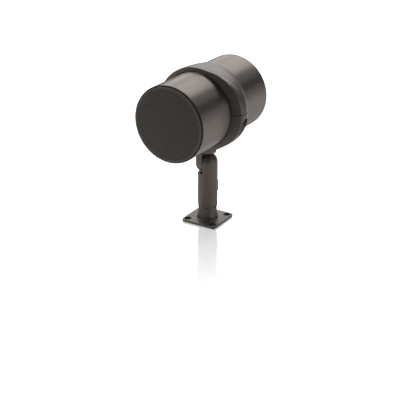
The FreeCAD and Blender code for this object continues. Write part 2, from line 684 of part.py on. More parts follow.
# Knuckle head: turret, spigot, and the ear that laps the post's tongue
def knuckle_head():
    body = new_body("knuckle_head")
    web = new_sketch(body, "XY_Plane", "web", size.pivot_height)
    draw_circle(web, (0, 0), size.turret_radius)
    pad(body, web, "web_pad", turret_top - size.pivot_height)
    wide = size.ear_radius + SPARE
    lap = new_sketch(body, "XY_Plane", "lap", turret_bottom)
    draw(lap, box_corners(ear_face, wide, -wide, wide))
    pocket(body, lap, "lap_cut", turret_bottom - size.pivot_height)
    spigot = new_sketch(body, "XY_Plane", "spigot", turret_top)
    draw_circle(spigot, (0, 0), size.spigot_radius)
    pad(body, spigot, "spigot_pad", size.spigot_height)
    ear = new_sketch(body, "XZ_Plane", "ear")
    ear.setExpression("AttachmentOffset.Base.y", size.pivot_height.formula)
    draw(ear, [(ear_face, 0), (ear_face, size.ear_radius),
               (size.ear_edge - size.ear_outer, size.ear_radius),
               (-size.ear_outer, size.ear_radius - size.ear_edge), (-size.ear_outer, 0)],
         {2: (size.ear_edge, True)})
    revolve(body, ear, "ear_turned", axis="H_Axis")
    sides = new_sketch(body, "XY_Plane", "sides", size.pivot_height)
    flat = size.ear_radius - size.ear_edge
    draw(sides, [(ear_face, -size.ear_radius), (ear_face, size.ear_radius),
                 (size.ear_edge - size.ear_outer, size.ear_radius), (-size.ear_outer, flat),
                 (-size.ear_outer, -flat), (size.ear_edge - size.ear_outer, -size.ear_radius)],
         {2: (size.ear_edge, True), 4: (size.ear_edge, True)})
    pad(body, sides, "sides_pad", turret_bottom + size.ear_top - size.pivot_height)
    sink = new_sketch(body, "YZ_Plane", "sink", -size.ear_outer)
    draw_circle(sink, (0, size.pivot_height), sink_radius)
    pocket(body, sink, "sink_cut", sink_depth, backwards=True)
    hole = new_sketch(body, "YZ_Plane", "hole", ear_face)
    draw_circle(hole, (0, size.pivot_height), size.bolt_radius + size.turning_clearance)
    pocket(body, hole, "hole_cut", size.ear_outer)
    chamber = new_sketch(body, "YZ_Plane", "chamber", ear_face)
    draw_circle(chamber, (0, size.pivot_height), size.chamber_inner)
    draw_circle(chamber, (0, size.pivot_height), size.friction_inner)
    pocket(body, chamber, "chamber_cut", size.chamber_depth)
    riser = new_sketch(body, "XY_Plane", "riser", spigot_top)
    draw_circle(riser, (-size.riser_offset, 0), size.riser_radius)
    riser_foot = size.pivot_height + (size.chamber_inner + size.friction_inner) / 2
    pocket(body, riser, "riser_cut", spigot_top - riser_foot)
    return [body]


# Bolt of the knuckle with its washers
def knuckle_bolt():
    seat = sink_depth - size.ear_outer
    to_tongue = {"axis": Vector(0, 1, 0), "angle": 90}
    washer = ring("pivot_washer", size.bolt_radius + size.turning_clearance, size.head_radius,
                  0, size.bolt_washer)
    move(washer, across=seat - size.bolt_washer, height=size.pivot_height, **to_tongue)
    under_head = seat - size.bolt_washer
    bolt = socket_screw("pivot_bolt", size.lap_plane + size.bolt_grip - under_head,
                        size.bolt_radius, size.head_radius)
    move(bolt, across=under_head, height=size.pivot_height, **to_tongue)
    friction = ring("friction_washer", size.friction_inner, size.ear_radius - size.friction_margin,
                    0, size.lap_gap)
    move(friction, across=ear_face, height=size.pivot_height, **to_tongue)
    return [washer, bolt, friction]


# Split clamp collar: a crowned band that swells into one lug, a slit, and a pocket for its screw
def collar_section(name, ahead, wall, offset):
    """The collar's outline across the barrel: two arcs and the lines that touch both."""
    band_radius = collar_bore + wall
    lug_radius = band_radius - turned_about(size.lug_flank, offset)[0]
    band_end, band_rise = turned_about(size.lug_flank, band_radius)
    lug_end, lug_rise = turned_about(size.lug_flank, lug_radius)
    sketch = doc.addObject("Sketcher::SketchObject", name)
    draw(sketch, [(band_end, band_rise), (-band_radius, 0), (band_end, -band_rise),
                  (offset + lug_end, -lug_rise), (offset + lug_end, lug_rise)],
         {0: (band_radius, True), 1: (band_radius, True), 3: (lug_radius, True)})
    return move(sketch, height=ahead)


def collar():
    sections = [collar_section("rear_section", collar_back, size.rear_wall, size.rear_offset),
                collar_section("fall_section", size.fall_ahead, size.fall_wall, size.fall_offset),
                collar_section("full_section", size.full_ahead, size.full_wall, size.full_offset),
                collar_section("front_section", size.collar_front, size.front_wall,
                               size.front_offset)]
    solid = doc.addObject("Part::Loft", "clamp_solid")
    solid.Sections = sections
    solid.Solid = True
    reach = clamp_screw_out + size.full_offset
    bore = rod("band_bore", collar_bore, size.collar_width + 2 * SPARE, height=collar_back - SPARE)
    slit = block("slit", reach, size.slit_width, size.collar_width + 2 * SPARE,
                 height=collar_back - SPARE, along=slit_low)
    upright = {"across": clamp_screw_out, "height": size.clamp_screw_ahead,
               "axis": Vector(1, 0, 0), "angle": -90}
    screw_pocket = rod("screw_pocket", size.clamp_pocket, reach, along=clamp_seat - reach, **upright)
    screw_hole = rod("screw_hole", size.clamp_radius + size.turning_clearance, reach,
                     along=slit_high - reach, **upright)
    tapped = rod("screw_thread", size.clamp_radius + size.thread_clearance,
                 size.clamp_grip + size.bolt_tap_spare, along=slit_high, **upright)
    casting = cut("clamp_casting", solid,
                  fused("clamp_hollows", [bore, slit, screw_pocket, screw_hole, tapped]))
    turn = Rotation(Vector(1, 0, 0), 90).multiply(Rotation(Vector(0, 0, 1), size.clamp_turn.value))
    casting.Placement = FreeCAD.Placement(Vector(0, 0, 0), turn)
    casting.setExpression("Placement.Base.z", axis_height.formula)
    seat = rod("turret_seat", size.turret_radius + size.thread_clearance, size.turret_height,
               height=turret_bottom)
    through = rod("spigot_hole", size.spigot_radius + size.thread_clearance,
                  size.turret_height + size.collar_width, height=turret_bottom)
    return [cut("collar", casting, fused("turret_hollows", [seat, through]))]


# Clamp screw with its washer, upright in the turned lug
def clamp_screw():
    def in_lug(thing, below):
        ahead = -size.clamp_screw_ahead
        out, rise = turned_about(size.clamp_turn, clamp_screw_out)
        side, drop = turned_about(size.clamp_turn, below)
        return move(thing, out - drop, ahead, axis_height + rise + side,
                    axis=Vector(0, 1, 0), angle=-size.clamp_turn)

    washer = ring("clamp_washer", size.clamp_radius + size.turning_clearance,
                  size.clamp_washer_radius, 0, size.bolt_washer)
    in_lug(washer, clamp_seat - size.bolt_washer)
    length = size.bolt_washer + size.clamp_ear + size.slit_width + size.clamp_grip
    screw = socket_screw("clamp_screw", length, size.clamp_radius, size.clamp_head_radius)
    in_lug(screw, clamp_seat - size.bolt_washer)
    return [washer, screw]


# Rubber liner between the collar and the barrel, with a hole for the cable
def collar_liner():
    sleeve = on_barrel(ring("liner_sleeve", size.barrel_radius, collar_bore,
                            collar_back + size.liner_setback, size.collar_front - size.liner_setback))
    hole = rod("liner_hole", size.grommet_radius + size.baffle_fit, size.barrel_radius,
               across=-size.riser_offset, height=turret_bottom)
    return [cut("collar_liner", sleeve, hole)]


# Barrel: one moulded cup with a rebate at its mouth, screw bosses and board standoffs
def barrel():
    body = new_body("barrel")
    outline = new_sketch(body, "XZ_Plane", "outline")
    outer, rear = size.barrel_radius, -size.barrel_rear
    draw(outline, [(0, rear), (outer - size.rear_edge, rear), (outer, rear + size.rear_edge),
                   (outer, size.barrel_front - size.lip_edge),
                   (outer - size.lip_edge, size.barrel_front), (rebate_radius, size.barrel_front),
                   (rebate_radius, baffle_back), (barrel_inner, baffle_back),
                   (barrel_inner, rear_inside), (0, rear_inside)],
         {1: (size.rear_edge, True), 3: (size.lip_edge, True)})
    revolve(body, outline, "turned")
    boss = new_sketch(body, "XY_Plane", "boss", baffle_back - size.boss_length)
    draw_circle(boss, turned_about(SCREW_TURN, boss_circle), size.boss_radius)
    around(body, pad(body, boss, "boss_pad", size.boss_length), SCREWS_AROUND)
    hole = new_sketch(body, "XY_Plane", "boss_hole", baffle_back)
    draw_circle(hole, turned_about(SCREW_TURN, boss_circle), size.screw_radius + size.thread_clearance)
    around(body, pocket(body, hole, "boss_hole_cut", size.boss_length - size.screw_radius), SCREWS_AROUND)
    standoff = new_sketch(body, "XY_Plane", "standoff", rear_inside)
    drill = new_sketch(body, "XY_Plane", "standoff_hole", board_back)
    for side, end in board_corners():
        draw_circle(standoff, (side, end), size.standoff_radius)
    pad(body, standoff, "standoff_pad", size.standoff_height)
    for side, end in board_corners():
        draw_circle(drill, (side, end), size.screw_radius + size.thread_clearance)
    pocket(body, drill, "standoff_hole_cut", size.standoff_height - size.screw_radius)
    cable = new_sketch(body, "XZ_Plane", "cable_hole")
    draw_circle(cable, (-size.riser_offset, 0), size.grommet_radius)
    pocket(body, cable, "cable_hole_cut", size.barrel_radius + SPARE, backwards=True)
    return [on_barrel(body)]


def board_corners():
    """The places of the four board screws."""
    side = size.board_width / 2 - size.board_margin
    end = size.board_height / 2 - size.board_margin
    return [(side, end), (-side, end), (-side, -end), (side, -end)]


# Rubber grommet that seals the cable's way into the barrel
def cable_grommet():
    inside = on_barrel(rod("grommet_room", barrel_inner, 2 * size.grommet_radius + SPARE * 2))
    inside.setExpression("Placement.Base.y", (size.grommet_radius + SPARE).formula)
    top = axis_height - barrel_inner + size.grommet_height
    flange = rod("grommet_disc", size.grommet_radius + size.grommet_flange, 2 * size.grommet_height,
                 across=-size.riser_offset, height=top - 2 * size.grommet_height)
    foot = axis_height - size.barrel_radius
    sleeve = rod("grommet_sleeve", size.grommet_radius, top - foot, across=-size.riser_offset,
                 height=foot)
    bore = rod("grommet_bore", size.riser_radius, top - foot + 2 * SPARE, across=-size.riser_offset,
               height=foot - SPARE)
    whole = fused("grommet_whole", [shared("grommet_flange", flange, inside), sleeve])
    return [cut("cable_grommet", whole, bore)]


# Baffle ring with its screws and the driver's gasket
def baffle():
    body = ring("baffle", baffle_opening, rebate_radius - size.baffle_fit, baffle_back,
                baffle_front)
    clear = new_sketch(body, "XY_Plane", "clear_hole", baffle_front)
    draw_circle(clear, turned_about(SCREW_TURN, boss_circle), size.screw_radius + size.turning_clearance)
    around(body, pocket(body, clear, "clear_cut", size.baffle_thickness), SCREWS_AROUND)
    tapped = new_sketch(body, "XY_Plane", "tapped_hole", baffle_front)
    draw_circle(tapped, turned_about(0, driver_screw_circle), size.screw_radius
                + size.thread_clearance)
    around(body, pocket(body, tapped, "tapped_cut", size.baffle_thickness), SCREWS_AROUND)
    places = [turned_about(SCREW_TURN + 360 / SCREWS_AROUND * number, boss_circle)
              for number in range(SCREWS_AROUND)]
    screws = small_screws("baffle_screws", places, baffle_front, size.screw_length)
    gasket = driver_ring("driver_gasket", baffle_opening, baffle_front, frame_back)
    return [on_barrel(body), screws, on_barrel(gasket)]


def driver_ring(label, inner, back, front):
    """A ring under the driver's flange, with clearance holes for the driver screws."""
    body = ring(label, inner, frame_radius, back, front)
    clear = new_sketch(body, "XY_Plane", "clear_hole", front)
    draw_circle(clear, turned_about(0, driver_screw_circle), size.screw_radius
                + size.turning_clearance)
    around(body, pocket(body, clear, "clear_cut", front - back), SCREWS_AROUND)
    return body


# Driver frame with its windows, and the screws of its flange
def driver_frame():
    body = new_body("driver_frame")
    outline = new_sketch(body, "XZ_Plane", "outline")
    ledge = floor_front + size.ledge_height
    inner_floor = size.frame_floor_radius - size.frame_wall
    draw(outline, [(pole_gap_outer, floor_back), (size.frame_floor_radius, floor_back),
                   (size.frame_floor_radius, ledge), (frame_mouth + size.frame_wall, frame_back),
                   (frame_radius, frame_back), (frame_radius, frame_front),
                   (frame_mouth, frame_front), (frame_mouth, frame_back),
                   (inner_floor, ledge), (size.ledge_inner, ledge), (size.ledge_inner, floor_front),
                   (pole_gap_outer, floor_front)])
    revolve(body, outline, "turned")
    window = new_sketch(body, "XY_Plane", "window", frame_back - size.frame_flange)
    draw(window, box_corners(window_outer - size.window_reach, window_outer, -size.window_width / 2,
                             size.window_width / 2))
    around(body, pocket(body, window, "window_cut", size.frame_depth - size.frame_flange * 2
                        - size.ledge_height), FRAME_WINDOWS)
    clear = new_sketch(body, "XY_Plane", "clear_hole", frame_front)
    draw_circle(clear, turned_about(0, driver_screw_circle), size.screw_radius
                + size.turning_clearance)
    around(body, pocket(body, clear, "clear_cut", size.frame_flange), SCREWS_AROUND)
    places = [turned_about(360 / SCREWS_AROUND * number, driver_screw_circle)
              for number in range(SCREWS_AROUND)]
    length = size.frame_flange + size.gasket_thickness + size.baffle_thickness
    screws = small_screws("driver_screws", places, frame_front, length)
    return [on_barrel(body), screws]


# Motor: top plate, ring magnet, and back plate with its pole
def motor():
    top_plate = ring("top_plate", pole_gap_outer, size.top_plate_radius, magnet_front, floor_back)
    magnet = ring("ring_magnet", size.magnet_bore, size.magnet_radius, magnet_back, magnet_front)
    yoke_back = magnet_back - size.yoke_thickness
    yoke = turned("pole_yoke", [(0, yoke_back), (size.top_plate_radius, yoke_back),
                                (size.top_plate_radius, magnet_back), (pole_radius, magnet_back),
                                (pole_radius, floor_back), (0, floor_back)])
    return [on_barrel(piece) for piece in (top_plate, magnet, yoke)]


# Moving parts of the driver: coil, spider, cone and surround, at rest
def cone_assembly():
    coil = ring("voice_coil", size.coil_radius - size.coil_wall, size.coil_radius, coil_back,
                coil_front)
    ledge = floor_front + size.ledge_height
    edge = size.frame_floor_radius - size.frame_wall
    cloth = size.spider_cloth
    wave = size.spider_wave
    step = (edge - size.coil_radius) / 4
    lower = [(size.coil_radius + step * number, ledge + (wave if number % 2 else 0))
             for number in range(5)]
    upper = [(radius, height + cloth) for radius, height in reversed(lower)]
    spider = turned("spider", lower + upper)
    cone_back = coil_front - size.cone_wall * 2
    wall = size.cone_wall
    cone = turned("cone", [(size.coil_radius, cone_back), (size.coil_radius + wall, cone_back),
                           (cone_rim, frame_front - wall), (cone_rim, frame_front),
                           (cone_rim - wall, frame_front), (size.coil_radius, coil_front)])
    sheet_front = frame_front + size.surround_wall
    foot = frame_mouth + size.surround_foot
    half_chord = (frame_mouth - cone_rim) / 2
    roll = (half_chord * half_chord + size.surround_roll * size.surround_roll) / (2 * size.surround_roll)
    surround = turned("surround", [(cone_rim - size.cone_wall, frame_front),
                                   (cone_rim, frame_front), (frame_mouth, frame_front),
                                   (foot, frame_front), (foot, sheet_front),
                                   (frame_mouth, sheet_front), (cone_rim, sheet_front),
                                   (cone_rim - size.cone_wall, sheet_front)],
                      {1: (roll, False), 5: (roll, True)})
    return [on_barrel(piece) for piece in (coil, spider, cone, surround)]


# Coaxial tweeter on a post through the voice coil
def tweeter():
    cup_back = size.tweeter_top - size.tweeter_height
    post_piece = ring("tweeter_post", 0, size.tweeter_post_radius, floor_back, cup_back)
    wall = size.tweeter_wall
    inner = size.tweeter_radius - wall
    cup = turned("tweeter_cup", [(0, cup_back), (size.tweeter_radius, cup_back),
                                 (size.tweeter_radius, size.tweeter_top), (inner, size.tweeter_top),
                                 (inner, cup_back + wall), (0, cup_back + wall)])
    dome_back = size.tweeter_top - size.tweeter_dome_rise - wall / 2
    dome_edge = dome_back + wall / 2
    rise = size.tweeter_dome_rise
    radius = (inner * inner + rise * rise) / (2 * rise)
    dome = turned("tweeter_dome", [(0, dome_back), (inner, dome_back), (inner, dome_edge),
                                   (0, dome_edge + rise)], {2: (radius, True)})
    return [on_barrel(piece) for piece in (post_piece, cup, dome)]


# Grille: one pressed cap with a rounded rim and a gently domed, perforated field
def grille():
    sheet_gauge = size.grille_sheet
    outer, edge = grille_radius, size.grille_edge
    inner = outer - sheet_gauge
    field = field_radius
    dome = (field * field + size.grille_dome * size.grille_dome) / (2 * size.grille_dome)
    crown = field_front + size.grille_dome
    body = turned("grille", [(inner, baffle_front), (outer, baffle_front), (outer, rim_front - edge),
                             (outer - edge, rim_front), (field, field_front), (0, crown),
                             (0, crown - sheet_gauge), (field, field_front - sheet_gauge),
                             (inner, rim_front - edge - sheet_gauge)],
                  {2: (edge, True), 4: (dome, True), 6: (dome, False)})
    room = size.grille_dome + size.grille_step + sheet_gauge * 2
    start = new_sketch(body, "XY_Plane", "middle_hole", crown)
    draw_circle(start, (0, 0), size.grille_hole)
    pocket(body, start, "middle_cut", room)
    for circle in range(1, GRILLE_CIRCLES + 1):
        sketch = new_sketch(body, "XY_Plane", "hole_%d" % circle, crown)
        draw_circle(sketch, (size.grille_pitch * circle, 0), size.grille_hole)
        around(body, pocket(body, sketch, "hole_cut_%d" % circle, room), HEX_SIDES * circle)
    cloth_front = field_front - sheet_gauge
    cloth_crown = crown - sheet_gauge
    gauge = size.cloth_thickness
    cloth = turned("grille_cloth", [(field, cloth_front), (0, cloth_crown), (0, cloth_crown - gauge),
                                    (field, cloth_front - gauge)], {0: (dome, True), 2: (dome, False)})
    foam = ring("grille_foam", outer, rebate_radius, baffle_front, baffle_front + size.foam_length)
    return [on_barrel(piece) for piece in (body, cloth, foam)]


# Crossover board on the rear wall, with its parts and screws
def crossover():
    body = new_body("crossover_board")
    face = new_sketch(body, "XY_Plane", "face", board_back)
    half_width, half_height = size.board_width / 2, size.board_height / 2
    draw(face, box_corners(-half_width, half_width, -half_height, half_height))
    for corner in board_corners():
        draw_circle(face, corner, size.screw_radius + size.turning_clearance)
    pad(body, face, "board_pad", size.board_thickness)
    screws = small_screws("board_screws", board_corners(), board_front, size.board_screw_length)
    flange, winding = size.inductor_flange, size.inductor_winding
    top = board_front + size.inductor_height
    coil = turned("inductor", [(size.inductor_bore, board_front), (size.inductor_radius, board_front),
                               (size.inductor_radius, board_front + flange),
                               (winding, board_front + flange), (winding, top - flange),
                               (size.inductor_radius, top - flange), (size.inductor_radius, top),
                               (size.inductor_bore, top)])
    on_barrel(coil).setExpression("Placement.Base.x", (-size.inductor_left).formula)
    cans = []
    for number, side in enumerate((0, 1), start=1):
        across = size.capacitor_right + size.capacitor_spread * side
        lying = rod("capacitor_%d" % number, size.capacitor_radius, size.capacitor_length, across,
                    -board_front - size.capacitor_radius,
                    axis_height - size.capacitor_length / 4)
        cans.append(lying)
    capacitors = group("capacitors", cans)
    terminal = new_body("terminal_block")
    base = new_sketch(terminal, "XY_Plane", "base", board_front)
    half, low = size.terminal_width / 2, -size.terminal_down - size.terminal_depth / 2
    draw(base, box_corners(-half, half, low, low + size.terminal_depth))
    pad(terminal, base, "base_pad", size.terminal_height)
    wells = new_sketch(terminal, "XY_Plane", "wells", board_front + size.terminal_height)
    for side in (-1, 1):
        draw_circle(wells, (half * side / 2, -size.terminal_down), size.terminal_well)
    pocket(terminal, wells, "wells_cut", size.terminal_height / 2)
    return [on_barrel(body), screws, coil, capacitors, on_barrel(terminal)]


# Acoustic wadding that lines the barrel behind the cable's way in
def wadding():
    outer = barrel_inner - size.wadding_fit
    return [on_barrel(ring("wadding", outer - size.wadding_thickness, outer,
                           size.wadding_front - size.wadding_length, size.wadding_front))]


PIECES = (base_flange() + swivel_stem() + post() + cable_exit_cover() + knuckle_head()
          + knuckle_bolt() + collar() + clamp_screw() + collar_liner() + barrel() + cable_grommet()
          + baffle() + driver_frame() + motor() + cone_assembly() + tweeter() + grille()
          + crossover() + wadding())
doc.recompute()


# Nothing is written unless every object is sound
for item in doc.Objects:
    if "Invalid" in item.State or "Error" in item.State:
        raise RuntimeError("%s failed: %s" % (item.Label, item.State))
for piece in PIECES:
    if piece.Shape.isNull() or not piece.Shape.isValid() or not piece.Shape.Solids:
        raise RuntimeError("%s has no sound solid" % piece.Label)
for piece in PIECES:
    piece.Shape.exportStep("parts/%s.step" % piece.Label)
    print(piece.Label, len(piece.Shape.Solids), round(piece.Shape.Volume, 1))
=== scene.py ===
"""Looks of the outdoor patio speaker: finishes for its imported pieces, a perforated grille with its
rolled rim and seal, a pale floor and soft studio light. Metres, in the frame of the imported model."""

import math

import bpy
import numpy as np
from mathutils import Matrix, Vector


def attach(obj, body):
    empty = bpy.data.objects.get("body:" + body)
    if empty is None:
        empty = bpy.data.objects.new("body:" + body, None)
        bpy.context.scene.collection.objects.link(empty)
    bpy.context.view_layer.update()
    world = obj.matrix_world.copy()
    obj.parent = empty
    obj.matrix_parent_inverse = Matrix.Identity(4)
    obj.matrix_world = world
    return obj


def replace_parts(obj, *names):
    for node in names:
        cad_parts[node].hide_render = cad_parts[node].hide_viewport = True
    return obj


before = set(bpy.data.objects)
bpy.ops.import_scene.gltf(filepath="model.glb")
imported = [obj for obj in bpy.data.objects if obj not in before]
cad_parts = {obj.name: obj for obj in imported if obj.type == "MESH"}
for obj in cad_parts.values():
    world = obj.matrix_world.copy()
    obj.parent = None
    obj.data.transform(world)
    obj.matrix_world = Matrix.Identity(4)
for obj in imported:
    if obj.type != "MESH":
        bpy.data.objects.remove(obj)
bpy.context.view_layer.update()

MM = 0.001
AXIS_HEIGHT = 205.8 * MM     # of the barrel's axis, which lies along Y with the face towards -Y
WHITE = (1.0, 1.0, 1.0, 1.0)


# Colours and nodes
GLOSS_CHANGE = 0.05          # how far a grain moves a finish's roughness, up or down
QUARTER_TURN = 0.25          # as Anisotropic Rotation counts it


def hex_colour(code):
    """An sRGB hex colour as linear RGBA."""
    parts = [int(code[place:place + 2], 16) / 255 for place in (1, 3, 5)]
    linear = [part / 12.92 if part <= 0.04045 else ((part + 0.055) / 1.055) ** 2.4 for part in parts]
    return (*linear, 1.0)


def add(tree, kind, settings=None, **inputs):
    """A node with its settings; an input is a value, or another node's output to link."""
    made = tree.nodes.new("ShaderNode" + kind)
    for name, value in (settings or {}).items():
        setattr(made, name, value)
    for name, value in inputs.items():
        socket = made.inputs[int(name[1:])] if name[0] == "i" and name[1:].isdigit() else \
            made.inputs[name.replace("_", " ")]
        if isinstance(value, bpy.types.NodeSocket):
            tree.links.new(value, socket)
        else:
            socket.default_value = value
    return made


def new_material(name):
    """An empty material, its tree, and its surface shader."""
    material = bpy.data.materials.new(name)
    material.use_nodes = True
    tree = material.node_tree
    tree.nodes.clear()
    shader = add(tree, "BsdfPrincipled")
    output = add(tree, "OutputMaterial")
    tree.links.new(shader.outputs["BSDF"], output.inputs["Surface"])
    return material, tree, shader


def grained(name, light, dark, roughness, metallic=0.0, grain_mm=0.5, mottle_mm=8.0, relief_mm=0.01):
    """A finish with a fine grain in its relief and gloss, and a slow drift between two colours."""
    material, tree, shader = new_material(name)
    place = add(tree, "TexCoord").outputs["Object"]
    mottle = add(tree, "TexNoise", Vector=place, Scale=1 / (mottle_mm * MM), Detail=3.0)
    grain = add(tree, "TexNoise", Vector=place, Scale=1 / (grain_mm * MM), Detail=2.0)
    tint = add(tree, "MixRGB", i1=hex_colour(dark), i2=hex_colour(light), i0=mottle.outputs["Fac"])
    gloss = add(tree, "MapRange", Value=grain.outputs["Fac"], i3=roughness - GLOSS_CHANGE,
                i4=roughness + GLOSS_CHANGE)
    relief = add(tree, "Bump", Height=grain.outputs["Fac"], Distance=relief_mm * MM, Strength=1.0)
    tree.links.new(tint.outputs["Color"], shader.inputs["Base Color"])
    tree.links.new(gloss.outputs["Result"], shader.inputs["Roughness"])
    tree.links.new(relief.outputs["Normal"], shader.inputs["Normal"])
    shader.inputs["Metallic"].default_value = metallic
    return material


def laid_round(material, stretch):
    """Stretches a finish's gloss along the barrel's axis, as flakes laid in lines round the barrel
    do. The lines' direction is the axis crossed with the way out from it."""
    tree = material.node_tree
    shader = next(node for node in tree.nodes if node.type == "BSDF_PRINCIPLED")
    place = add(tree, "TexCoord").outputs["Object"]
    outward = add(tree, "VectorMath", {"operation": "SUBTRACT"}, i0=place, i1=(0.0, 0.0, AXIS_HEIGHT))
    round_way = add(tree, "VectorMath", {"operation": "CROSS_PRODUCT"}, i0=(0.0, 1.0, 0.0),
                    i1=outward.outputs["Vector"])
    tree.links.new(round_way.outputs["Vector"], shader.inputs["Tangent"])
    shader.inputs["Anisotropic"].default_value = stretch
    shader.inputs["Anisotropic Rotation"].default_value = QUARTER_TURN
    return material


def wave_scale(spacing_mm):
    """The Scale that sets a wave texture's lines this far apart: its phase is 20 * Scale * distance."""
    return math.pi / (10 * spacing_mm * MM)


def woven(name, thread, gap, thread_mm, roughness=0.9):
    """A plain weave: two crossed sets of threads, the higher one showing at each crossing."""
    material, tree, shader = new_material(name)
    place = add(tree, "TexCoord").outputs["Object"]
    across, upright = (
        add(tree, "TexWave", {"bands_direction": direction, "wave_profile": "SIN"}, Vector=place,
            Scale=wave_scale(thread_mm), Distortion=0.3).outputs["Fac"] for direction in ("X", "Z"))
    over = add(tree, "Math", {"operation": "MAXIMUM"}, i0=across, i1=upright)
    tint = add(tree, "MixRGB", i1=hex_colour(gap), i2=hex_colour(thread), i0=over.outputs["Value"])
    relief = add(tree, "Bump", Height=over.outputs["Value"], Distance=thread_mm * MM / 4, Strength=1.0)
    tree.links.new(tint.outputs["Color"], shader.inputs["Base Color"])
    tree.links.new(relief.outputs["Normal"], shader.inputs["Normal"])
    shader.inputs["Roughness"].default_value = roughness
    return material


def turned_lines(name, light, dark, line_mm, roughness, metallic=0.0, relief_mm=0.02):
    """Fine rings around the barrel's axis, as tool marks or wound wire leave them."""
    material, tree, shader = new_material(name)
    place = add(tree, "TexCoord").outputs["Object"]
    centred = add(tree, "Mapping", Vector=place, Location=(0.0, 0.0, -AXIS_HEIGHT))
    lines = add(tree, "TexWave", {"wave_type": "RINGS", "rings_direction": "Y"},
                Vector=centred.outputs["Vector"], Scale=wave_scale(line_mm), Distortion=0.2)
    tint = add(tree, "MixRGB", i1=hex_colour(dark), i2=hex_colour(light), i0=lines.outputs["Fac"])
    relief = add(tree, "Bump", Height=lines.outputs["Fac"], Distance=relief_mm * MM, Strength=0.6)
    tree.links.new(tint.outputs["Color"], shader.inputs["Base Color"])
    tree.links.new(relief.outputs["Normal"], shader.inputs["Normal"])
    shader.inputs["Roughness"].default_value = roughness
    shader.inputs["Metallic"].default_value = metallic
    return material


# Powder-coated cast aluminium: a satin dark bronze with a fine orange peel from the melted powder
POWDER_COAT = grained("powder_coated_aluminium", "#69635E", "#625C57", 0.46, metallic=0.7,
                      grain_mm=0.9, relief_mm=0.012)
# Moulded ABS, turned under the spray of a metallic bronze lacquer: satin and smooth, and its flakes
# lie in lines round the barrel, so its highlights run along it
METALLIC_LACQUER = laid_round(grained("metallic_lacquer_on_moulded_abs", "#89827D", "#827B76", 0.5,
                                      metallic=0.88, relief_mm=0.004), stretch=0.9)
# Moulded ABS in the castings' colour: a satin lacquer over the fine grain of the mould
LACQUERED_ABS = grained("satin_lacquer_on_moulded_abs", "#69635E", "#625C57", 0.5, metallic=0.6,
                        relief_mm=0.006)
# Powder-coated steel sheet, punched: the castings' bronze made darker, as painted shade over the grille
SHADED_PUNCHED_SHEET = grained("powder_coated_punched_steel_painted_shade", "#5B5651", "#544F4A", 0.5, metallic=0.5,
                        grain_mm=0.6)
# Acoustic cloth: black polyester yarn in a plain weave, dull and open
ACOUSTIC_CLOTH = woven("woven_polyester_cloth", "#2A2725", "#0C0B0B", 0.5)
# Nitrile rubber, moulded: black, dull, with the fine grain of an etched mould
RUBBER = grained("moulded_nitrile_rubber", "#1C1B1A", "#141312", 0.7, grain_mm=0.4, relief_mm=0.02)
# Black oxide steel: the dark, slightly oily finish of socket screws
BLACK_OXIDE = grained("black_oxide_steel", "#2C2B2A", "#201F1E", 0.4, metallic=0.8, grain_mm=0.3,
                      relief_mm=0.006)
# Zinc-plated steel, pressed: light grey and cloudy
ZINC = grained("zinc_plated_steel", "#A9ABAB", "#8E9193", 0.38, metallic=1.0, grain_mm=0.4,
               mottle_mm=3.0, relief_mm=0.004)
# Sintered ferrite: nearly black, stony and dull
FERRITE = grained("sintered_ferrite", "#3A3A3C", "#2C2C2E", 0.65, grain_mm=0.25, relief_mm=0.02)
# Glass-filled nylon, moulded: black with a slight sheen
NYLON = grained("glass_filled_nylon", "#242424", "#1B1B1B", 0.5, grain_mm=0.7, relief_mm=0.015)
# Enamelled copper wire, wound: orange, with a line for each turn
COPPER_WINDING = turned_lines("enamelled_copper_winding", "#C0703C", "#7A3E1C", 0.5, 0.3, metallic=1.0)
# Turned brass: yellow and bright, with the tool's fine rings
BRASS = turned_lines("turned_brass", "#C9A55A", "#B08C46", 0.3, 0.28, metallic=1.0, relief_mm=0.004)
# Polypropylene cone: dark grey, with faint moulding rings
POLYPROPYLENE = turned_lines("moulded_polypropylene", "#2B2B2C", "#232324", 1.2, 0.45)
# Woven cotton stiffened with resin: amber and dull
COTTON = woven("impregnated_cotton", "#B8893F", "#8A632A", 0.6)
# Woven silk under a soft coating: nearly black, with a slight sheen
SILK = woven("coated_silk", "#2A2724", "#1D1B19", 0.3, roughness=0.6)
# Glass-epoxy board: green lacquer over the weave
BOARD = woven("lacquered_glass_epoxy", "#2E5A34", "#254C2B", 0.8, roughness=0.4)
# Polyester film capacitor, dipped: yellow and glossy
DIPPED_FILM = grained("dipped_polyester_film", "#B9852B", "#A97723", 0.25, grain_mm=2.0)
# PBT, moulded: an even green with a slight gloss
TERMINAL_GREEN = grained("moulded_green_pbt", "#2F8A47", "#27793C", 0.5, grain_mm=0.6)
# Polyester wadding: white, matted fibres
FIBRE = grained("polyester_fibre_wadding", "#E4E2DC", "#C9C6BE", 0.95, grain_mm=1.2, mottle_mm=4.0,
                relief_mm=0.6)
# Open-cell foam: black, pored
FOAM = grained("open_cell_foam", "#1E1D1C", "#0E0D0D", 0.95, grain_mm=0.6, relief_mm=0.2)

